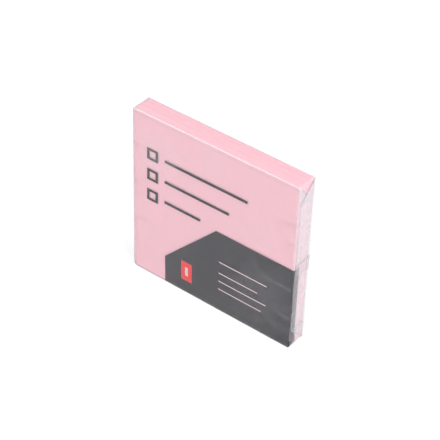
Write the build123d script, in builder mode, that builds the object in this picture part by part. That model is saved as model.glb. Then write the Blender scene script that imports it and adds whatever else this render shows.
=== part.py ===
"""A pad of square sticky notes on a backing sheet, sealed in a folded clear film wrapper.

The pad stands on its bottom edge. +X runs to the right, +Y to the back and +Z up, and the
origin is at the middle of the bottom. All sizes are in millimetres.
"""

import os

from build123d import *

# Paper
note_width = 75.0
note_height = 75.0
sheet_thickness = 0.085
sheet_count = 100
backing_thickness = 0.15

# Film
film_thickness = 0.04
film_slack = 0.15  # room between the paper and the film on every side
seam_lap = 6.0  # width of the double strip along the back panel
seam_height = 34.0  # from the bottom to the strip's lower edge
flap_margin = 0.6  # how far short of the opposite fold an end flap stops
crease_inset = 0.2  # from the edge of an end face to the layers folded onto it

# Paper and film, counted from the front to the back
notes_depth = sheet_count * sheet_thickness
film_room = film_slack + film_thickness
body_width = note_width + 2.0 * film_room
body_height = note_height + 2.0 * film_room
body_depth = notes_depth + backing_thickness + 2.0 * film_room
pack_depth = body_depth + film_thickness  # with the seam on the back
front_y = -pack_depth / 2.0
notes_y = front_y + film_room
backing_y = notes_y + notes_depth
back_y = front_y + body_depth
body_middle_y = (front_y + back_y) / 2.0

# The part of an end face where the folded layers lie
end_depth = body_depth - 2.0 * crease_inset
end_height = body_height - 2.0 * crease_inset
flap_reach = end_depth - flap_margin
end_middle = (body_width / 2.0, body_middle_y, body_height / 2.0)
end_plane = Plane(origin=end_middle, x_dir=(0, 1, 0), z_dir=(1, 0, 0))


def corner_turned(points, turn_x, turn_y):
    """The same outline, for another corner or side of the end face."""
    return [(x * turn_x, y * turn_y) for x, y in points]


def end_fold_outlines():
    """Outlines of the film folded onto an end face, in the order they are folded down.

    The top and the bottom are tucked in first and draw a triangle of the front and of the
    back with them. The front flap follows, and the back flap closes the end.
    """
    half_depth = end_depth / 2.0
    half_height = end_height / 2.0
    tuck = [
        (-half_depth, half_height),
        (half_depth, half_height),
        (half_depth, half_height - flap_reach),
        (-half_depth, half_height - flap_reach),
    ]
    gusset = [
        (-half_depth, half_height),
        (flap_reach - half_depth, half_height - flap_reach),
        (-half_depth, half_height - flap_reach),
    ]
    flap = [
        (-half_depth, half_height),
        (flap_reach - half_depth, half_height - flap_reach),
        (flap_reach - half_depth, flap_reach - half_height),
        (-half_depth, -half_height),
    ]
    tucks = [corner_turned(tuck, 1, turn_y) for turn_y in (1, -1)]
    gussets = [corner_turned(gusset, turn_x, turn_y) for turn_x in (1, -1) for turn_y in (1, -1)]
    flaps = [corner_turned(flap, turn_x, 1) for turn_x in (1, -1)]
    return tucks + gussets + flaps


def stacked_levels(outlines):
    """One sketch for each height of film: where one, two, three or more outlines lie on each other."""
    levels = []
    for outline in outlines:
        layer = Sketch() + Polygon(*outline, align=None)
        for height in reversed(range(len(levels))):
            shared = levels[height] & layer
            if not shared:
                continue
            if height + 1 == len(levels):
                levels.append(shared)
            else:
                levels[height + 1] = levels[height + 1] + shared
        if levels:
            levels[0] = levels[0] + layer
        else:
            levels.append(layer)
    return levels


# The notes, glued along their top edge into one block
with BuildPart() as note_block:
    with Locations((0, notes_y + notes_depth / 2.0, body_height / 2.0)):
        Box(note_width, notes_depth, note_height)

# The pale sheet that the last note sticks to
with BuildPart() as backing_sheet:
    with Locations((0, backing_y + backing_thickness / 2.0, body_height / 2.0)):
        Box(note_width, backing_thickness, note_height)

# The film: a closed skin, a lap seam along the back, and the folded layers on both ends. So thin
# a film folds over the paper's edges with a crease and no round. The lowest level on an end is
# the skin's own panel, so the stack starts at the second.
end_levels = stacked_levels(end_fold_outlines())[1:]
with BuildPart() as wrapper_film:
    with Locations((0, body_middle_y, body_height / 2.0)):
        Box(body_width, body_depth, body_height)
    offset(amount=-film_thickness, mode=Mode.SUBTRACT)
    with Locations((0, back_y + film_thickness / 2.0, seam_height + seam_lap / 2.0)):
        Box(body_width, film_thickness, seam_lap)
    for rise, level in enumerate(end_levels):
        with BuildSketch(end_plane.offset(rise * film_thickness)) as layer_sketch:
            add(level)
        extrude(layer_sketch.sketch, amount=film_thickness)
        mirror(extrude(layer_sketch.sketch, amount=film_thickness, mode=Mode.PRIVATE), about=Plane.YZ)

os.makedirs("parts", exist_ok=True)
note_block.part.label = "note_block"
export_step(note_block.part, "parts/note_block.step")
backing_sheet.part.label = "backing_sheet"
export_step(backing_sheet.part, "parts/backing_sheet.step")
wrapper_film.part.label = "wrapper_film"
export_step(wrapper_film.part, "parts/wrapper_film.step")
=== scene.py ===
# %% [markdown]
# # A wrapped pad of sticky notes
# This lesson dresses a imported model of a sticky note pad. The model fixes every size and place:
# a block of notes, a backing sheet and a clear film folded round both. We build what the eye
# sees in the same frame, in metres: single sheets, a thin creased film, the print on it, and
# a plain studio to look at it in.

# %% Load the frame
import math
import random

import bmesh
import bpy
from mathutils import Matrix, Vector, noise


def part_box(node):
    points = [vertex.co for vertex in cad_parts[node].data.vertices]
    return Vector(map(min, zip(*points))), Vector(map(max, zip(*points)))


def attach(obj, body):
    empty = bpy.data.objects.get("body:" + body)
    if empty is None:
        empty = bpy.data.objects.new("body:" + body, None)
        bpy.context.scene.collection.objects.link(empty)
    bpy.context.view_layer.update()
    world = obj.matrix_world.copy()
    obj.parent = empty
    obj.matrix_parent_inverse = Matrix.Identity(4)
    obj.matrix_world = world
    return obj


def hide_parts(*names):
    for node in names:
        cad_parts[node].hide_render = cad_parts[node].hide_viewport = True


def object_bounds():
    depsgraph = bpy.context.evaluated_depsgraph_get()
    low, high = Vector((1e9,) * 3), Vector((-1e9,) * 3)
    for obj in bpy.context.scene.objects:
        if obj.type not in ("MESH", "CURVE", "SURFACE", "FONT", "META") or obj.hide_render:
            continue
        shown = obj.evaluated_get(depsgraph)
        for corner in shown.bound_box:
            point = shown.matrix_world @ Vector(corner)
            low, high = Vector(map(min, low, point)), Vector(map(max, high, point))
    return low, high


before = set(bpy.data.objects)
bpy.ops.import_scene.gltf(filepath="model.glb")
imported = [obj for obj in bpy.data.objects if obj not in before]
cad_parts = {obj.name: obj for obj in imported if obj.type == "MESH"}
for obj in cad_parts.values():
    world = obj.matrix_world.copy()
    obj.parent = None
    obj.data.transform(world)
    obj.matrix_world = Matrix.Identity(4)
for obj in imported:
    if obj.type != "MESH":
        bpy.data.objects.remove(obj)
cad_low, cad_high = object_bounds()
print("model box in mm:", [round(1000 * side, 2) for side in cad_high - cad_low])

# %% [markdown]
# ## Sizes
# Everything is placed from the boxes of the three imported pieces, so nothing has to be fitted by
# eye. The film's thickness and the room at the paper's ends are the model's own values. Lengths
# that only concern the looks, such as how far a crease is rounded, are named where they are
# first used. A constant turns millimetres into the scene's metres.

# %% Read the pieces' boxes
MM = 0.001

note_low, note_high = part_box("note_block")
backing_low, backing_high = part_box("backing_sheet")
film_low, film_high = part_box("wrapper_film")

film_thickness = 0.04 * MM
half_film = film_thickness / 2
layer_pitch = 0.08 * MM  # from one folded layer to the next, with the air between them
end_slack = 0.15 * MM  # from the paper's ends to the film

# Middle surface of the film, as a box: the back panel leaves room for the lap seam.
wall_low = Vector((note_low.x - end_slack, film_low.y + half_film, film_low.z + half_film))
wall_high = Vector(
    (note_high.x + end_slack, film_high.y - 2 * film_thickness, film_high.z - half_film)
)
wall_middle = (wall_low + wall_high) / 2
wall_half = (wall_high - wall_low) / 2
print("film box in mm:", [round(2000 * half, 2) for half in wall_half])

# %% [markdown]
# ## Making a piece
# Each piece ends the same way: its mesh becomes an object at the origin, it takes a finish, and
# it is told which body it rides on. One small helper does that, and prints how many faces the
# mesh has. The paper pieces share two more: one adds a box between two corners, and one rounds
# edges with the bevel operator.


# %% Helper: finish a piece
def new_piece(name, bm, material, smooth=True):
    """Turns a bmesh into an object of this name that rides on the only body."""
    mesh = bpy.data.meshes.new(name)
    bm.to_mesh(mesh)
    bm.free()
    for face in mesh.polygons:
        face.use_smooth = smooth
    mesh.materials.append(material)
    piece = bpy.data.objects.new(name, mesh)
    bpy.context.scene.collection.objects.link(piece)
    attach(piece, "root")
    print(name, "faces:", len(mesh.polygons))
    return piece


# %% Helpers: boxes and rounded edges
def add_slab(bm, low, high):
    """Adds a box between two corners, shaped from a unit cube."""
    size = high - low
    place = Matrix.Translation((low + high) / 2) @ Matrix.Diagonal((size.x, size.y, size.z, 1.0))
    bmesh.ops.create_cube(bm, size=1.0, matrix=place)


def round_edges(bm, edges, radius, segments):
    """Rounds edges by a radius."""
    bmesh.ops.bevel(
        bm,
        geom=edges,
        offset=radius,
        offset_type="OFFSET",
        segments=segments,
        profile=0.5,
        affect="EDGES",
        material=-1,
    )


# %% [markdown]
# ## Nodes in code
# A material is a small graph of nodes. Writing each node on its own line soon gets long, so one
# helper adds a node, sets the values that we know, and links what comes from other nodes. A
# second one adds a Math node, whose terms are numbers or the outputs of other nodes.


# %% Helpers: nodes and materials
def add_node(tree, kind, values=None, links=None, **settings):
    """Adds a node: settings are its own properties, values and links go to its sockets."""
    node = tree.nodes.new(kind)
    for key, value in settings.items():
        setattr(node, key, value)
    for key, value in (values or {}).items():
        node.inputs[key].default_value = value
    for key, socket in (links or {}).items():
        tree.links.new(socket, node.inputs[key])
    return node


def calculate(tree, operation, *terms, **settings):
    """Adds a Math node and gives back its output."""
    node = add_node(tree, "ShaderNodeMath", operation=operation, **settings)
    for index, term in enumerate(terms):
        if isinstance(term, float):
            node.inputs[index].default_value = term
        else:
            tree.links.new(term, node.inputs[index])
    return node.outputs[0]


def new_material(name):
    """An empty node material and its output node."""
    material = bpy.data.materials.new(name)
    material.use_nodes = True
    material.node_tree.nodes.clear()
    output = material.node_tree.nodes.new("ShaderNodeOutputMaterial")
    return material, material.node_tree, output


# %% [markdown]
# ## Grain, shared by paper and print
# Paper, ink and the haze in the film all vary a little from place to place. They share one node
# group: a broad mottle and a fine grain, both on Object coordinates, so the pattern stays on the
# object when it is turned. The group puts out a factor near one, for the colour, and a height
# for a bump. Each material gives it its own sizes and strengths.


# %% Node group: grain
def make_grain_group():
    """Colour factor and height from a broad mottle and a fine grain."""
    group = bpy.data.node_groups.new("grain", "ShaderNodeTree")
    starts = {"Mottle Scale": 60.0, "Grain Scale": 4000.0, "Mottle": 0.02, "Grain": 0.02}
    for label, start in starts.items():
        socket = group.interface.new_socket(label, in_out="INPUT", socket_type="NodeSocketFloat")
        socket.default_value = start
    for label in ("Factor", "Height"):
        group.interface.new_socket(label, in_out="OUTPUT", socket_type="NodeSocketFloat")
    given = group.nodes.new("NodeGroupInput").outputs
    result = group.nodes.new("NodeGroupOutput").inputs
    place = add_node(group, "ShaderNodeTexCoord").outputs["Object"]
    mottle = add_node(
        group,
        "ShaderNodeTexNoise",
        {"Detail": 3.0, "Roughness": 0.55},
        {"Vector": place, "Scale": given["Mottle Scale"]},
    )
    grain = add_node(
        group,
        "ShaderNodeTexNoise",
        {"Detail": 2.0, "Roughness": 0.6},
        {"Vector": place, "Scale": given["Grain Scale"]},
    )
    swings = []
    for texture, strength in ((mottle, given["Mottle"]), (grain, given["Grain"])):
        centred = calculate(group, "SUBTRACT", texture.outputs["Fac"], 0.5)
        swings.append(calculate(group, "MULTIPLY", centred, strength))
    both = calculate(group, "ADD", swings[0], swings[1])
    factor = calculate(group, "MULTIPLY_ADD", both, 2.0, 1.0)
    group.links.new(factor, result["Factor"])
    group.links.new(grain.outputs["Fac"], result["Height"])
    return group


grain_group = make_grain_group()
print("grain group nodes:", len(grain_group.nodes))


# %% Helper: a grained surface
mottle_scale, grain_scale = 70.0, 3500.0  # of paper and ink
bump_height = 0.02 * MM


def grained_surface(name, color, roughness, mottle, grain, bump, specular=0.3):
    """A Principled surface whose colour and height vary with the grain group."""
    material, tree, output = new_material(name)
    pattern = add_node(
        tree,
        "ShaderNodeGroup",
        node_tree=grain_group,
        values={
            "Mottle Scale": mottle_scale,
            "Grain Scale": grain_scale,
            "Mottle": mottle,
            "Grain": grain,
        },
    )
    tint = add_node(
        tree,
        "ShaderNodeVectorMath",
        {0: color},
        {"Scale": pattern.outputs["Factor"]},
        operation="SCALE",
    )
    relief = add_node(
        tree,
        "ShaderNodeBump",
        {"Strength": bump, "Distance": bump_height},
        {"Height": pattern.outputs["Height"]},
    )
    surface = add_node(
        tree,
        "ShaderNodeBsdfPrincipled",
        {"Roughness": roughness, "Specular IOR Level": specular},
        {"Base Color": tint.outputs["Vector"], "Normal": relief.outputs["Normal"]},
    )
    tree.links.new(surface.outputs["BSDF"], output.inputs["Surface"])
    return material


# %% [markdown]
# ## The notes
# The real block is a hundred sheets, held together by a narrow strip of adhesive on each. From
# above they show as fine lines, because no sheet lies exactly on the next. One thin box per
# sheet, moved by a few hundredths of a millimetre with seeded random numbers, gives those lines
# as real geometry. The corners of a wrapped pad get blunted, so each sheet's corners are rounded,
# most of all at the lower left. One bevel call rounds the same corner of every sheet.

# %% Note paper
note_paper = grained_surface(
    "note_paper", (0.9, 0.55, 0.61), roughness=0.85, mottle=0.02, grain=0.03, bump=0.35
)

# %% Build the notes
sheet_count = 100
sheet_gap_share = 0.06  # air between two sheets, as a share of a sheet
sheet_rise = 0.05 * MM  # how far a sheet may stand out of line, up or down
sheet_shift = 0.02 * MM  # and sideways
edge_margin = 0.06 * MM  # so that no shifted sheet leaves the block

# Radius of each blunted corner, by its side (-1 is left) and its height (-1 is below).
corner_radii = {(-1, -1): 1.6 * MM, (1, -1): 0.4 * MM, (-1, 1): 0.6 * MM, (1, 1): 0.9 * MM}

draw = random.Random(7)
bm = bmesh.new()
pitch = (note_high.y - note_low.y) / sheet_count
for index in range(sheet_count):
    sideways = draw.uniform(-sheet_shift, sheet_shift)
    upwards = draw.uniform(-sheet_rise, sheet_rise)
    shift = Vector((sideways, 0.0, upwards))
    front = note_low.y + index * pitch
    back = front + pitch * (1 - sheet_gap_share)
    low = Vector((note_low.x + edge_margin, front, note_low.z + edge_margin)) + shift
    high = Vector((note_high.x - edge_margin, back, note_high.z - edge_margin)) + shift
    add_slab(bm, low, high)


# %% Round the corners
def corner_edges(bm, side, height):
    """The edges along Y at one corner of every sheet."""
    middle = (note_low + note_high) / 2
    near_corner = 0.4 * (note_high.z - note_low.z) / 2
    edges = []
    for edge in bm.edges:
        start, stop = edge.verts[0].co, edge.verts[1].co
        centre = (start + stop) / 2 - middle
        along = abs(start.y - stop.y) > 0.5 * pitch
        if along and centre.x * side > near_corner and centre.z * height > near_corner:
            edges.append(edge)
    return edges


for (side, height), radius in corner_radii.items():
    round_edges(bm, corner_edges(bm, side, height), radius, 4)
notes = new_piece("note_sheets", bm, note_paper, smooth=False)
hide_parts("note_block")

# %% [markdown]
# ## The backing sheet
# Behind the last note lies one pale, smooth sheet, which keeps the adhesive off the wrapper. It
# is a thin slab with its edges softened by a bevel, in a paler and smoother paper.

# %% Build the backing sheet
backing_paper = grained_surface(
    "backing_paper", (0.9, 0.87, 0.86), roughness=0.6, mottle=0.015, grain=0.02, bump=0.2
)
backing_edge = 0.03 * MM
bm = bmesh.new()
add_slab(bm, backing_low, backing_high)
round_edges(bm, bm.edges[:], backing_edge, 1)
backing = new_piece("backing_paper_sheet", bm, backing_paper, smooth=False)
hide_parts("backing_sheet")

# %% [markdown]
# ## The film, flat
# The wrapper is one flat sheet before it is folded. We build it the same way: a flat sheet with
# X along the pad's width and Y as the way round the pad, starting on the back panel, going up
# and over the top, down the front, under the bottom and up the back again, past where it began,
# which makes the lap seam. At both ends it stands out beyond the paper, for the end folds.
# Working on the flat sheet makes the cuts easy: a crease is a straight line there, and so is
# the edge of a printed field.

# %% Flat sizes
seam_height = 34.0 * MM  # where the inner end of the sheet begins
seam_start = wall_low.z + seam_height
seam_lap = 6.0 * MM
reach = 8.3 * MM  # how far the sheet stands out beyond each end
crease_round = 0.45 * MM  # how far a crease bends round the paper's edge

panel_depth = 2 * wall_half.y
panel_height = 2 * wall_half.z
run_back_upper = wall_high.z - seam_start
run_top = run_back_upper + panel_depth
run_front = run_top + panel_height
run_bottom = run_front + panel_depth
run_end = run_bottom + seam_start + seam_lap - wall_low.z
fold_runs = (run_back_upper, run_top, run_front, run_bottom)
sheet_half = wall_half.x + reach
print("flat sheet in mm:", round(2000 * sheet_half, 1), "by", round(1000 * run_end, 1))

# %% [markdown]
# ## Folding
# One function carries any point of the flat sheet to its place on the pad. On the body it only
# follows the panels round. Beyond an end it does what hands do: the top and the bottom are tucked
# in first, a triangle of the front and of the back is drawn in with them, then the front flap
# and at last the back flap close the end. Each layer lies a little further out than the one
# before. All of it is first worked out on a box with sharp edges, and every crease is then
# rounded by the same amount.


# %% Helper: where a flat point goes
def smooth_step(value, start, end):
    """Rises from zero to one between start and end, with level ends."""
    share = min(max((value - start) / (end - start), 0.0), 1.0)
    return share * share * (3 - 2 * share)


def panel_point(run):
    """The panel at this length round the pad, its Y and Z there, and the ways to its folds."""
    if run < run_back_upper:
        return "back", wall_high.y, seam_start + run, run_back_upper - run, panel_height
    if run < run_top:
        way = run - run_back_upper
        return "top", wall_high.y - way, wall_high.z, way, panel_depth - way
    if run < run_front:
        way = run - run_top
        return "front", wall_low.y, wall_high.z - way, way, panel_height - way
    if run < run_bottom:
        way = run - run_front
        return "bottom", wall_low.y + way, wall_low.z, way, panel_depth - way
    way = run - run_bottom
    return "back", wall_high.y, wall_low.z + way, panel_height - way, way


end_levels = {"tuck": -1.2, "front gusset": -0.6, "front": 1, "back gusset": 2, "back": 3}
rise_width = 1.6 * MM  # a flap climbs over what lies under it within this width
dip_width = 0.6 * MM  # and what is folded under it dips within this width
edge_sink = 0.8  # share of that climb that a flap gives back before its free edge


def end_level(name, from_crease, over):
    """How many layers a flap lies out: it rises from its own crease and sinks to its free edge."""
    width = rise_width if end_levels[name] > 0 else dip_width
    rise = smooth_step(from_crease, 0.0, width)
    sink = 1 - edge_sink * smooth_step(over, panel_depth - 2.0 * rise_width, panel_depth)
    return end_levels[name] * rise * sink


def end_point(panel, y, z, over, to_top, to_bottom):
    """Where a point that far over an end lies on it, with its level and the side that is up."""
    if panel == "top":
        return y, wall_high.z - over, end_level("tuck", over, 0.0), 1
    if panel == "bottom":
        return y, wall_low.z + over, end_level("tuck", over, 0.0), 1
    inward = 1 if panel == "front" else -1
    edge = wall_low.y if panel == "front" else wall_high.y
    if over > to_top:
        level = end_level(panel + " gusset", to_top, to_top)
        return edge + inward * to_top, wall_high.z - over, level, -1
    if over > to_bottom:
        level = end_level(panel + " gusset", to_bottom, to_bottom)
        return edge + inward * to_bottom, wall_low.z + over, level, -1
    level = end_level(panel, over, over)
    return edge + inward * over, z, level, 1


# %% [markdown]
# ## Creases and crinkles
# A film this thin is never quite flat. It swells a little over the paper, it is drawn into short
# pleats near both ends, where the folds pull on it, and the folded flaps are crinkled. All of
# that is one height over the flat sheet. The pleats are listed, each a short ray that
# starts on an end crease, and noise does the rest. The height fades out at the creases, where
# the film is held by the paper. At the right end the film stands loose along the back crease
# and at two tips, and at the corners it follows the blunted paper.

# %% Pleats
# Each pleat: side (-1 is left), height at the end crease, rise per millimetre inwards, length,
# all in millimetres on the front panel.
pleats = (
    (1, 28.5, 0.03, 17.0),
    (1, 14.5, 0.1, 9.0),
    (1, 60.0, -0.12, 11.0),
    (1, 51.0, 0.05, 6.0),
    (-1, 62.0, -0.2, 9.0),
    (-1, 26.0, 0.15, 11.0),
    (-1, 44.0, 0.05, 5.0),
)
pleat_width = 0.8  # millimetres


def pleat_line(x, run, drop):
    """How far a flat point is on a pleat, from zero to one, with the line moved down by drop."""
    height = (run_front - run) / MM
    strength = 0.0
    for side, start, rise, length in pleats:
        inward = (wall_half.x - side * x) / MM
        if 0 < inward < length:
            away = (height - start - rise * inward + drop) / pleat_width
            fade = 1 - smooth_step(inward, 0.3 * length, length)
            strength = max(strength, math.exp(-away * away) * fade)
    return strength


# %% Helper: height of the wrinkles
def ridge(x, y, seed):
    """Sharp-crested waves between minus one and one."""
    return 1 - 3.2 * abs(noise.noise(Vector((x, y, seed))))


# Heights in millimetres.
swell_height, swell_swing = 0.2, 0.12
crinkle_height, pleat_height = 0.05, 0.12
streak_height, dimple_height = 0.045, 0.03
deepest_dip = {"flap": -0.02, "body": -0.06}

flap_crinkle = {"back": 0.35, "front": 0.3}  # share of the streaks that shows on each flap
tuck_crinkle = 0.2


def wrinkle(x, run, panel, over, near_fold):
    """How far the film stands off its flat place, in metres."""
    u, v = x / MM, run / MM
    if over > 0:
        free = smooth_step(over, 0.3 * MM, 1.5 * MM) * flap_crinkle.get(panel, tuck_crinkle)
        streak = streak_height * ridge(over / MM / 1.1, v / 9.0, 3.0)
        dimple = dimple_height * noise.noise(Vector((u / 0.9, v / 2.2, 5.0)))
        return max(free * (streak + dimple), deepest_dip["flap"]) * MM
    held = smooth_step(near_fold, 0.2 * MM, 3.0 * MM)
    to_end = wall_half.x - abs(x)
    pulled = 1 - smooth_step(to_end, 0.5 * MM, 13.0 * MM)
    slack = smooth_step(near_fold, 1.0 * MM, 16.0 * MM) * smooth_step(to_end, 1.0 * MM, 12.0 * MM)
    swing = noise.noise(Vector((u / 21.0, v / 15.0, 1.0)))
    swell = slack * (swell_height + swell_swing * swing)
    crinkle = pulled * crinkle_height * ridge(u / 15.0 + v / 9.0, v / 3.6, 7.0)
    pleat = pleat_height * pleat_line(x, run, 0.0)
    height = swell + held * smooth_step(to_end, 0.0, 1.2 * MM) * (crinkle + pleat)
    return max(height, deepest_dip["body"]) * MM


# %% Helper: loose film and blunt corners
# Two tips of the right end: how far round the sheet, how far it stands out, how wide it is.
loose_tips = (
    (run_back_upper, 0.4 * MM, 1.2 * MM),
    (run_bottom, 0.3 * MM, 1.5 * MM),
)
edge_stand, edge_width = 0.42 * MM, 1.3 * MM


def loose_edge(run, over, near_fold):
    """How far the film stands out along the back crease of the right end."""
    swing = 1 + 0.35 * noise.noise(Vector((run / MM / 9.0, 3.0, 14.0)))
    away = over / edge_width
    return edge_stand * swing * math.exp(-away * away) * smooth_step(near_fold, 0.0, 5.0 * MM)


def blunt(place):
    """Rounds the corners, seen from the front, in step with the corners of the notes."""
    for (side, height), radius in corner_radii.items():
        wide = radius + end_slack
        centre_x = wall_middle.x + side * (wall_half.x - wide)
        centre_z = wall_middle.z + height * (wall_half.z - wide)
        dx, dz = side * (place.x - centre_x), height * (place.z - centre_z)
        if dx > 0 and dz > 0:
            shrink = max(dx, dz) / math.hypot(dx, dz)
            return Vector((centre_x + side * dx * shrink, place.y, centre_z + height * dz * shrink))
    return place


# %% Helper: fold a point
lap_start = run_end - seam_lap
lap_rise = 1.8 * film_thickness  # the lap lies on the sheet's inner end, with some air between


def folded(x, run, outward=0.0):
    """Where a flat point lies on the wrapped pad, that far outside the film's middle."""
    panel, y, z, to_first, to_second = panel_point(run)
    over = abs(x) - wall_half.x
    side = 1 if x > 0 else -1
    level, up = 0.0, 1
    across = x
    if over > 0:
        y, z, level, up = end_point(panel, y, z, over, to_first, to_second)
        across = side * wall_half.x
    lap = lap_rise * smooth_step(run, lap_start - 1.0 * MM, lap_start + 0.4 * MM)
    sharp = Vector((across, y, z)) - wall_middle
    core = sharp.copy()
    for axis in range(3):
        inner = wall_half[axis] - crease_round
        core[axis] = min(max(sharp[axis], -inner), inner)
    normal = (sharp - core).normalized()
    near_fold = min(to_first, to_second)
    height = wrinkle(x, run, panel, over, near_fold)
    for tip_run, stand, width in loose_tips:
        away = math.hypot(x - wall_half.x, run - tip_run) / width
        height += stand * math.exp(-away * away)
    rise = crease_round + level * layer_pitch + lap + height + up * outward
    place = blunt(wall_middle + core + normal * rise)
    if side > 0 and panel == "back":
        place.x += loose_edge(run, over, near_fold)
    place.z = max(place.z, film_low.z + half_film)
    return place


# %% [markdown]
# ## Cutting the flat sheet
# A flat quad is cut by straight lines: one at every crease, closer ones beside it for the round
# of the crease, the four slanted creases of each end, and an even net in between for the
# wrinkles. The bisect operator makes each cut. The printed fields use the same lines, so that
# their facets lie along the film's and never come through it.

# %% Helper: the cut lines
net_step = 0.75 * MM
crease_steps = [share * crease_round for share in (-1.0, -0.66, -0.33, 0.0, 0.33, 0.66, 1.0)]


def line_values(low, high, creases):
    """Even steps between low and high, with a fine group of lines at each crease."""
    values = {crease + step for crease in creases for step in crease_steps}
    edges = [low] + sorted(creases) + [high]
    for start, stop in zip(edges, edges[1:]):
        count = max(1, round((stop - start) / net_step))
        for index in range(count + 1):
            value = start + (stop - start) * index / count
            if all(abs(value - crease) > crease_round * 1.2 for crease in creases):
                values.add(value)
    return sorted(value for value in values if low + 1e-6 < value < high - 1e-6)


lines_x = line_values(-sheet_half, sheet_half, (-wall_half.x, wall_half.x))
lines_run = line_values(0.0, run_end, fold_runs)
print("cut lines:", len(lines_x), "across and", len(lines_run), "along")


# %% Helper: a flat patch of the sheet
cut_gap = 1e-8  # metres: a point this near a cut lies on it


def cut(bm, point, normal, clear_outer=False):
    """Cuts everything along one line of the flat sheet, and may drop what lies beyond it."""
    everything = bm.verts[:] + bm.edges[:] + bm.faces[:]
    bmesh.ops.bisect_plane(
        bm, geom=everything, dist=cut_gap, plane_co=point, plane_no=normal, clear_outer=clear_outer
    )


def flat_patch(low, high):
    """A rectangle of the flat sheet, cut along the net and the creases that cross it."""
    bm = bmesh.new()
    size = Vector((high[0] - low[0], high[1] - low[1], 1.0))
    middle = Vector(((low[0] + high[0]) / 2, (low[1] + high[1]) / 2, 0.0))
    bmesh.ops.create_grid(
        bm,
        x_segments=1,
        y_segments=1,
        size=0.5,
        matrix=Matrix.Translation(middle) @ Matrix.Diagonal((size.x, size.y, 1.0, 1.0)),
    )
    for value in lines_x:
        if low[0] < value < high[0]:
            cut(bm, (value, 0, 0), (1, 0, 0))
    for value in lines_run:
        if low[1] < value < high[1]:
            cut(bm, (0, value, 0), (0, 1, 0))
    return bm


def split_quads(bm):
    """Cuts every quad along the same diagonal, so that film and print bend alike."""
    for face in bm.faces[:]:
        if len(face.verts) == 4:
            low = min(face.verts, key=lambda vert: vert.co.x + vert.co.y)
            high = max(face.verts, key=lambda vert: vert.co.x + vert.co.y)
            if not any(high in edge.verts for edge in low.link_edges):
                bmesh.utils.face_split(face, low, high)


def cut_end_creases(bm):
    """Cuts the slanted creases, where the front and the back turn under at each corner."""
    for side in (-1, 1):
        for corner, way in zip(fold_runs, (-1, 1, -1, 1)):
            near = [
                face
                for face in bm.faces
                if side * face.calc_center_median().x > wall_half.x
                and 0 < way * (face.calc_center_median().y - corner) < reach + net_step
            ]
            edges = {edge for face in near for edge in face.edges}
            verts = {vert for face in near for vert in face.verts}
            bmesh.ops.bisect_plane(
                bm,
                geom=list(verts) + list(edges) + near,
                dist=cut_gap,
                plane_co=(side * wall_half.x, corner, 0),
                plane_no=(1, -side * way, 0),
            )


# %% Helper: fold a patch
hard_fold = math.radians(50)  # from this turn on, a fold is shaded as an edge


def fold(bm, outward=0.0):
    """Moves every point of a flat patch to its place on the pad, and keeps hard folds hard."""
    split_quads(bm)
    bmesh.ops.triangulate(bm, faces=[face for face in bm.faces if len(face.verts) > 4])
    for vert in bm.verts:
        vert.co = folded(vert.co.x, vert.co.y, outward)
    bm.normal_update()
    for edge in bm.edges:
        edge.smooth = edge.calc_face_angle(0.0) < hard_fold


# %% [markdown]
# ## Clear film
# A clear film shows itself by what it mirrors and by a faint haze. The shader lets light straight
# through, mixes in a haze by the grain group and by a value kept on each point for how much the
# film is stressed, which also holds painted highlights, and lays a mirror over both. How much it
# mirrors follows Schlick's rule: four parts in a hundred straight on and more towards a grazing
# angle. Layer Weight gives the angle on both sides of the film, so every layer adds its own two
# reflections, and stacked flaps turn paler by themselves. A second value kept on each point is
# painted shade: it turns the haze from white to a greyish plum where a bent film would lead some
# light away.


# %% Clear film material
# The plum is the colour of the painted shade in the haze.
haze_white, painted_shade_plum = (0.95, 0.93, 0.97, 1.0), (0.3, 0.19, 0.25, 1.0)
let_through = (0.99, 0.985, 0.99, 1.0)
base_haze_share = 0.006
head_on_mirror = 0.04  # share of the light that is mirrored straight on


def make_clear_film():
    """Transparent film with a haze, creases that catch the light, and a soft mirror."""
    material, tree, output = new_material("clear_film")
    pattern = add_node(
        tree,
        "ShaderNodeGroup",
        node_tree=grain_group,
        values={"Mottle Scale": 60.0, "Grain Scale": 1500.0, "Mottle": 1.6, "Grain": 0.15},
    )
    # One value per point holds the haze with painted highlights, the other the share of painted shade.
    haze_and_painted_light = add_node(tree, "ShaderNodeAttribute", attribute_name="haze_and_painted_light")
    painted_shade = add_node(tree, "ShaderNodeAttribute", attribute_name="painted_shade")
    base_haze = calculate(tree, "MULTIPLY", pattern.outputs["Factor"], base_haze_share)
    haze = calculate(tree, "ADD", base_haze, haze_and_painted_light.outputs["Fac"], use_clamp=True)
    tint = add_node(
        tree,
        "ShaderNodeMix",
        {"A": haze_white, "B": painted_shade_plum},
        {"Factor": painted_shade.outputs["Fac"]},
        data_type="RGBA",
    )
    clear = add_node(tree, "ShaderNodeBsdfTransparent", {"Color": let_through})
    milky = add_node(
        tree,
        "ShaderNodeBsdfPrincipled",
        {"Roughness": 0.6, "Specular IOR Level": 0.0},
        {"Base Color": tint.outputs["Result"]},
    )
    see_through = add_node(
        tree, "ShaderNodeMixShader", {}, {0: haze, 1: clear.outputs[0], 2: milky.outputs[0]}
    )
    facing = add_node(tree, "ShaderNodeLayerWeight", {"Blend": 0.5})
    fifth = calculate(tree, "POWER", facing.outputs["Facing"], 5.0)
    mirrored = calculate(tree, "MULTIPLY_ADD", fifth, 1 - head_on_mirror, head_on_mirror)
    gloss = add_node(
        tree, "ShaderNodeBsdfGlossy", {"Color": (0.88, 0.88, 0.88, 1.0), "Roughness": 0.3}
    )
    whole = add_node(
        tree,
        "ShaderNodeMixShader",
        {},
        {0: mirrored, 1: see_through.outputs[0], 2: gloss.outputs[0]},
    )
    tree.links.new(whole.outputs[0], output.inputs["Surface"])
    return material


clear_film = make_clear_film()
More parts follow.
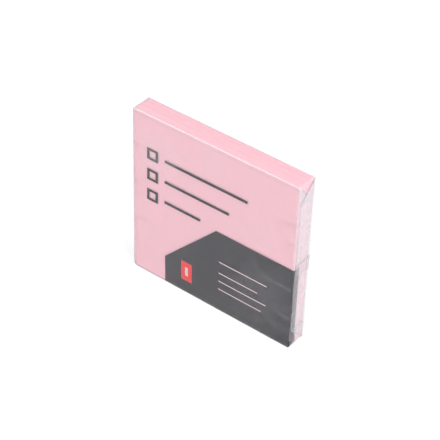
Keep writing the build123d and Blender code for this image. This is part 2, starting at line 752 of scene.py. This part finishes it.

# %% [markdown]
# ## Build the film
# The whole sheet is cut, folded, and given its thickness by the Solidify modifier. Two values are
# kept on every point before the fold. The first is the extra haze: high on a crease and falling
# off beside it, a little all over the flaps, and faint on pleats and on a few pale patches. Part
# of it is painted light: the highlight along the top crease, the pale band of the left crease and
# the pleat crests are painted highlight and reflection, and the pale patches paint the film's
# uneven reflection. The second is painted shade, which turns that haze from white to grey: the
# crease that faces the light stays pale, the ones that turn away are greyer, and a painted dim
# line lies under the top crease and under each pleat. Where a flap clings to dark print there is
# hardly any haze, so that the print stays dark.

# %% Haze and shade of the film
# Half width in metres, haze and share of painted shade of the four creases round the pad, in the
# order of fold_runs, and of the creases at the left and the right end. The haze is partly the
# film's own whitening at a crease and partly painted highlight and reflection.
round_creases = (
    (0.8 * MM, 0.3, 0.45),
    (1.1 * MM, 0.2, 0.0),
    (1.0 * MM, 0.35, 0.75),
    (0.7 * MM, 0.2, 0.6),
)
left_crease = (1.8 * MM, 0.26, 0.2)
right_crease = (1.3 * MM, 0.14, 0.04)
back_edge = (0.9 * MM, 0.2, 0.45)  # the back crease of the right end
flap_haze = {"front": 0.1, "back": 0.19}
under_haze = 0.03  # of the parts that are folded under the flaps
tuck_haze = {"top": 0.05, "bottom": 0.11}
top_haze = 0.02
cling_haze = 0.01  # where a flap clings to print
crinkle_haze = 0.14  # and the most that its crinkles add
streak_share, blotch_share = 0.15, 0.25  # how much the haze of the ends varies
lap_share = 0.25  # the lap adds more layers, and each has its own haze
# Painted highlight along each pleat's crest, a painted shadow line below it, and how far down that line
# lies, in pleat widths.
pleat_painted_highlight, pleat_painted_shadow, shadow_drop = 0.035, 0.03, 2.2
# A painted shade line below the top crease: distance, half width, haze and share of shade.
painted_shade_line = (1.2 * MM, 0.5 * MM, 0.07, 1.0)
ink_wrap, ink_height = 3.2 * MM, 38.0 * MM  # the dark print's part on the right end
# Pale haze patches that paint the film's uneven reflection.
pale_spots_painted_reflection = (  # left, height, radius in millimetres, and haze
    (13.0, 60.0, 12.0, 0.045),
    (38.0, 68.0, 9.0, 0.025),
    (60.0, 48.0, 9.0, 0.025),
    (7.0, 22.0, 7.0, 0.02),
    (61.0, 20.0, 16.0, 0.018),
)


def end_haze(x, run, over):
    """Haze of the folded ends: most on the outer flap, and little where the flaps cling to print."""
    panel, _, z, to_first, to_second = panel_point(run)
    height = (z - wall_low.z) / panel_height
    u, v = over / MM, run / MM
    if x > 0 and z < wall_low.z + ink_height:
        on_print = panel == "front" and over < ink_wrap
        over_print = panel == "back" and over > panel_depth - ink_wrap
        crinkled = max(noise.noise(Vector((u / 1.3, v / 1.6, 12.0))), 0.0)
        if on_print or over_print:
            return cling_haze + (0.0 if z < wall_low.z + reach else crinkle_haze * crinkled)
    if over > min(to_first, to_second):
        haze = under_haze
    else:
        haze = flap_haze.get(panel) or tuck_haze[panel]
    if run < seam_lap or run > run_end - seam_lap:
        haze *= lap_share
    streak = noise.noise(Vector((u / 0.8, v / 6.0, 4.0)))
    blotch = noise.noise(Vector((u / 3.0, v / 3.0, 8.0)))
    varied = 1 + streak_share * streak + blotch_share * blotch
    return haze * (0.7 + 0.5 * height) * varied  # a little more towards the top


def film_haze_and_painted_light(x, run):
    """Extra haze of the film at a flat point, with its painted highlights, and its share of painted
    shade.
    """
    marks = []

    def mark(distance, width, haze, painted_shade_share):
        marks.append((haze * (1 - smooth_step(distance, 0.0, width)), painted_shade_share))

    # The crease haze, with its painted highlight and shade, gets fainter towards the right end.
    fade = 1 - 0.4 * smooth_step(x, 0.3 * wall_half.x, wall_half.x)
    for crease, (width, haze, painted_shade_share) in zip(fold_runs, round_creases):
        mark(abs(run - crease), width, haze * fade, painted_shade_share)
    over = abs(x) - wall_half.x
    inked = x > 0 and run_front - ink_height < run < run_front
    if x < 0:
        mark(abs(over), *left_crease)
    elif panel_point(run)[0] == "back":
        mark(abs(over), *back_edge)
    elif not inked:
        mark(abs(over), *right_crease)
    if over > 0:
        marks.append((end_haze(x, run, over), 0.0))
    else:
        # A painted shade line under the top crease.
        below, width, haze, painted_shade_share = painted_shade_line
        mark(abs(run - run_top - below), width, haze, painted_shade_share)
        if run_back_upper < run < run_top:
            marks.append((top_haze, 0.0))
        # Painted highlight on each pleat's crest, and a painted shadow line below it.
        marks.append((pleat_painted_highlight * pleat_line(x, run, 0.0), 0.0))
        marks.append((pleat_painted_shadow * pleat_line(x, run, shadow_drop * pleat_width), 1.0))
        # Pale patches that paint the film's uneven reflection.
        for spot_x, spot_z, size, haze in pale_spots_painted_reflection:
            away = math.hypot((x + wall_half.x) / MM - spot_x, (run_front - run) / MM - spot_z)
            ragged = 1 + 0.6 * noise.noise(Vector((x / MM / 5.0, run / MM / 5.0, 6.0)))
            marks.append((haze * (1 - smooth_step(away * ragged, 0.4 * size, size)), 0.0))
    total = sum(haze for haze, painted_shade_share in marks)
    if total <= 0:
        return 0.0, 0.0
    return total, sum(haze * painted_shade_share for haze, painted_shade_share in marks) / total


# %% Film piece
bm = flat_patch((-sheet_half, 0.0), (sheet_half, run_end))
cut_end_creases(bm)
# Per point: haze, partly painted highlight and reflection, and the share of painted shade.
haze_and_painted_light_layer = bm.verts.layers.float.new("haze_and_painted_light")
painted_shade_layer = bm.verts.layers.float.new("painted_shade")
for vert in bm.verts:
    vert[haze_and_painted_light_layer], vert[painted_shade_layer] = film_haze_and_painted_light(vert.co.x, vert.co.y)
fold(bm)
film = new_piece("film_wrap", bm, clear_film)
shell = film.modifiers.new("thickness", "SOLIDIFY")
shell.thickness = film_thickness
shell.offset = 0.0
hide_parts("wrapper_film")

# %% [markdown]
# ## The print
# The film is printed on its inside. Each printed field is a patch of the same flat sheet, cut
# out along its edges and folded by the same function, a hair inside the film. It has a real
# thickness, so it hides the paper and throws a faint shadow on it, as ink on a clear film does.
# The print is plain and generic: a dark field with a cut corner that runs on round the right
# and the lower edge, a red bar, pale rules, and three check boxes with a bar each. Where two
# prints lie over each other, each has its own depth under the film.

# %% Inks
dark_finish = {"roughness": 0.6, "mottle": 0.05, "grain": 0.03, "bump": 0.1, "specular": 0.0}
bright_finish = {"roughness": 0.5, "mottle": 0.03, "grain": 0.04, "bump": 0.15, "specular": 0.0}
dark_ink = grained_surface("dark_ink", (0.013, 0.014, 0.023), **dark_finish)
red_ink = grained_surface("red_ink", (0.85, 0.035, 0.03), **bright_finish)
pale_ink = grained_surface("pale_ink", (0.8, 0.62, 0.66), **bright_finish)
ink_thickness = 0.006 * MM
# How far outside the film's middle each ink lies, so that they are all inside it.
red_place = -(half_film + 0.016 * MM)
dark_place = red_place - 0.012 * MM
pale_place = red_place + 0.007 * MM


# %% Helper: printed fields
def front_place(x_mm, z_mm):
    """A point of the front panel, from its lower left corner, on the flat sheet."""
    return x_mm * MM - wall_half.x, run_front - z_mm * MM


def printed(name, shapes, material, outward):
    """Makes one piece of print from convex outlines on the front panel, given anticlockwise."""
    whole = bmesh.new()
    for corners in shapes:
        points = [Vector((*front_place(*corner), 0.0)) for corner in corners]
        low = [min(point[axis] for point in points) for axis in range(2)]
        high = [max(point[axis] for point in points) for axis in range(2)]
        patch = flat_patch(low, high)
        for start, stop in zip(points, points[1:] + points[:1]):
            along = stop - start
            if abs(along.x) > 1e-9 and abs(along.y) > 1e-9:
                cut(patch, start, (-along.y, along.x, 0), clear_outer=True)
        part = bpy.data.meshes.new("part")
        patch.to_mesh(part)
        patch.free()
        whole.from_mesh(part)
        bpy.data.meshes.remove(part)
    bmesh.ops.remove_doubles(whole, verts=whole.verts[:], dist=1e-7)
    cut_end_creases(whole)
    fold(whole, outward)
    piece = new_piece(name, whole, material)
    body = piece.modifiers.new("thickness", "SOLIDIFY")
    body.thickness = ink_thickness
    body.offset = 0.0


def box_outline(x, z, width, height):
    """A rectangle of the front panel, in millimetres, anticlockwise."""
    return [(x, z), (x + width, z), (x + width, z + height), (x, z + height)]


# %% Dark field
# In millimetres on the front panel, from its lower left corner.
field_left, field_top = 16.0, ink_height / MM
field_right = 2 * wall_half.x / MM + ink_wrap / MM  # round the right end's crease
cut_from, cut_to = 13.0, 40.0
wrap_under = 4.2
tab_reach = 7.5  # how far the print runs out on the bottom tuck
dark_shapes = [
    box_outline(field_left, -wrap_under, field_right - field_left, cut_from + wrap_under),
    box_outline(cut_to, cut_from, field_right - cut_to, field_top - cut_from),
    [(field_left, cut_from), (cut_to, cut_from), (cut_to, field_top)],
    box_outline(field_right, -wrap_under, tab_reach - ink_wrap / MM, wrap_under),
]

# %% Check boxes and bars
box_side, stroke = 5.2, 1.1
box_places = ((7.0, 55.5), (7.0, 46.0), (7.0, 36.5))
bar_left, bar_height = 15.5, 1.2
bars = ((57.5, 38.0), (48.0, 30.0), (38.5, 17.0))  # height of its lower edge, and length
for x, z in box_places:
    dark_shapes += [
        box_outline(x, z, box_side, stroke),
        box_outline(x, z + box_side - stroke, box_side, stroke),
        box_outline(x, z + stroke, stroke, box_side - 2 * stroke),
        box_outline(x + box_side - stroke, z + stroke, stroke, box_side - 2 * stroke),
    ]
for z, length in bars:
    dark_shapes.append(box_outline(bar_left, z, length, bar_height))
printed("dark_print", dark_shapes, dark_ink, dark_place)

# %% Red bar and pale rules
red_bar = box_outline(24.0, 6.0, 5.2, 9.4)
bar_window = box_outline(25.9, 8.6, 1.4, 4.2)
rule_left, rule_height = 42.0, 0.45
rules = ((24.0, 22.0), (18.6, 18.0), (14.6, 22.0), (10.6, 20.0))  # lower edge, and length
pale_shapes = [bar_window]
for z, length in rules:
    pale_shapes.append(box_outline(rule_left, z, length, rule_height))
printed("red_print", [red_bar], red_ink, red_place)
printed("pale_print", pale_shapes, pale_ink, pale_place)

# %% [markdown]
# ## Studio
# A white floor and a white surround, as for a catalogue. The world is white for the camera and
# for whatever the film mirrors, and dimmer as a light, so that colours come out about as they are
# written. The floor does the same. A lamp in front on the left gives the thin highlight along the
# upper crease, one overhead keeps the top the brightest face, and a fill from the right lights
# the folded end.


# %% Helper: rays that show the background
def background_rays(tree):
    """One for rays that come from the camera, a mirror or glass, and zero for the rest."""
    rays = add_node(tree, "ShaderNodeLightPath").outputs
    seen = calculate(tree, "MAXIMUM", rays["Is Camera Ray"], rays["Is Glossy Ray"])
    return calculate(tree, "MAXIMUM", seen, rays["Is Transmission Ray"])


# %% World
world = bpy.data.worlds.new("white_surround")
bpy.context.scene.world = world
world.use_nodes = True
tree = world.node_tree
tree.nodes.clear()
light = add_node(tree, "ShaderNodeBackground", {"Color": (1, 1, 1, 1), "Strength": 0.5})
backdrop = add_node(tree, "ShaderNodeBackground", {"Color": (1, 1, 1, 1), "Strength": 1.0})
either = add_node(
    tree,
    "ShaderNodeMixShader",
    {},
    {0: background_rays(tree), 1: light.outputs[0], 2: backdrop.outputs[0]},
)
add_node(tree, "ShaderNodeOutputWorld", {}, {"Surface": either.outputs[0]})

# %% Floor
floor_size = 0.9
bm = bmesh.new()
bmesh.ops.create_grid(bm, x_segments=1, y_segments=1, size=floor_size / 2)
mesh = bpy.data.meshes.new("floor")
bm.to_mesh(mesh)
bm.free()
floor = bpy.data.objects.new("floor", mesh)
floor.location.z = cad_low.z - 0.01 * MM
bpy.context.scene.collection.objects.link(floor)
floor_white, tree, output = new_material("floor_white")
matt = add_node(tree, "ShaderNodeBsdfDiffuse", {"Color": (0.8, 0.8, 0.8, 1.0)})
glow = add_node(tree, "ShaderNodeEmission", {"Color": (1, 1, 1, 1), "Strength": 0.25})
both = add_node(tree, "ShaderNodeAddShader", {}, {0: matt.outputs[0], 1: glow.outputs[0]})
lifted = add_node(
    tree,
    "ShaderNodeMixShader",
    {},
    {0: background_rays(tree), 1: matt.outputs[0], 2: both.outputs[0]},
)
tree.links.new(lifted.outputs[0], output.inputs["Surface"])
mesh.materials.append(floor_white)


# %% Lamps
def way_to(azimuth, elevation):
    """The way out from the pad. Azimuth 0 is in front, and 90 is on the right."""
    turn, lift = math.radians(azimuth), math.radians(elevation)
    return Vector((math.sin(turn) * math.cos(lift), -math.cos(turn) * math.cos(lift), math.sin(lift)))


def area_lamp(name, azimuth, elevation, distance, size, power):
    """A square lamp that looks at the pad."""
    way = way_to(azimuth, elevation)
    lamp = bpy.data.lights.new(name, "AREA")
    lamp.shape = "SQUARE"
    lamp.size = size
    lamp.energy = power
    holder = bpy.data.objects.new(name, lamp)
    holder.location = (cad_low + cad_high) / 2 + way * distance
    holder.rotation_mode = "QUATERNION"
    holder.rotation_quaternion = way.to_track_quat("Z", "Y")
    bpy.context.scene.collection.objects.link(holder)


area_lamp("key", azimuth=-38.0, elevation=42.0, distance=0.7, size=0.3, power=1.63)
area_lamp("top", azimuth=10.0, elevation=80.0, distance=0.8, size=0.5, power=1.8)
area_lamp("fill", azimuth=75.0, elevation=30.0, distance=0.7, size=0.4, power=3.0)

# %% [markdown]
# ## Camera
# The camera looks down on the pad from the front right, through a long lens, so the far edges
# are only a little shorter than the near ones. It is rolled by two degrees and stands a little
# off the pad's middle. The bounce limit for see-through surfaces is raised, because a look at a
# folded end passes through up to five layers, each with two sides.

# %% Camera
camera_azimuth, camera_elevation = 36.59, 39.09
roll = math.radians(2.09)
camera_distance = 568.1 * MM
camera_aside, camera_above = -0.51 * MM, -1.16 * MM
back_way = way_to(camera_azimuth, camera_elevation)
level_right = (-back_way).cross(Vector((0, 0, 1))).normalized()
level_up = level_right.cross(-back_way)
right_way = level_right * math.cos(roll) + level_up * math.sin(roll)
up_way = level_up * math.cos(roll) - level_right * math.sin(roll)
lens = bpy.data.cameras.new("camera")
lens.sensor_width = 36.0
lens.lens = 125.6
camera = bpy.data.objects.new("camera", lens)
camera.matrix_world = Matrix((right_way, up_way, back_way)).transposed().to_4x4()
middle = (cad_low + cad_high) / 2
camera.location = middle + back_way * camera_distance - right_way * camera_aside - up_way * camera_above
bpy.context.scene.collection.objects.link(camera)
scene = bpy.context.scene
scene.camera = camera
scene.view_settings.view_transform = "Standard"
scene.cycles.transparent_max_bounces = 32
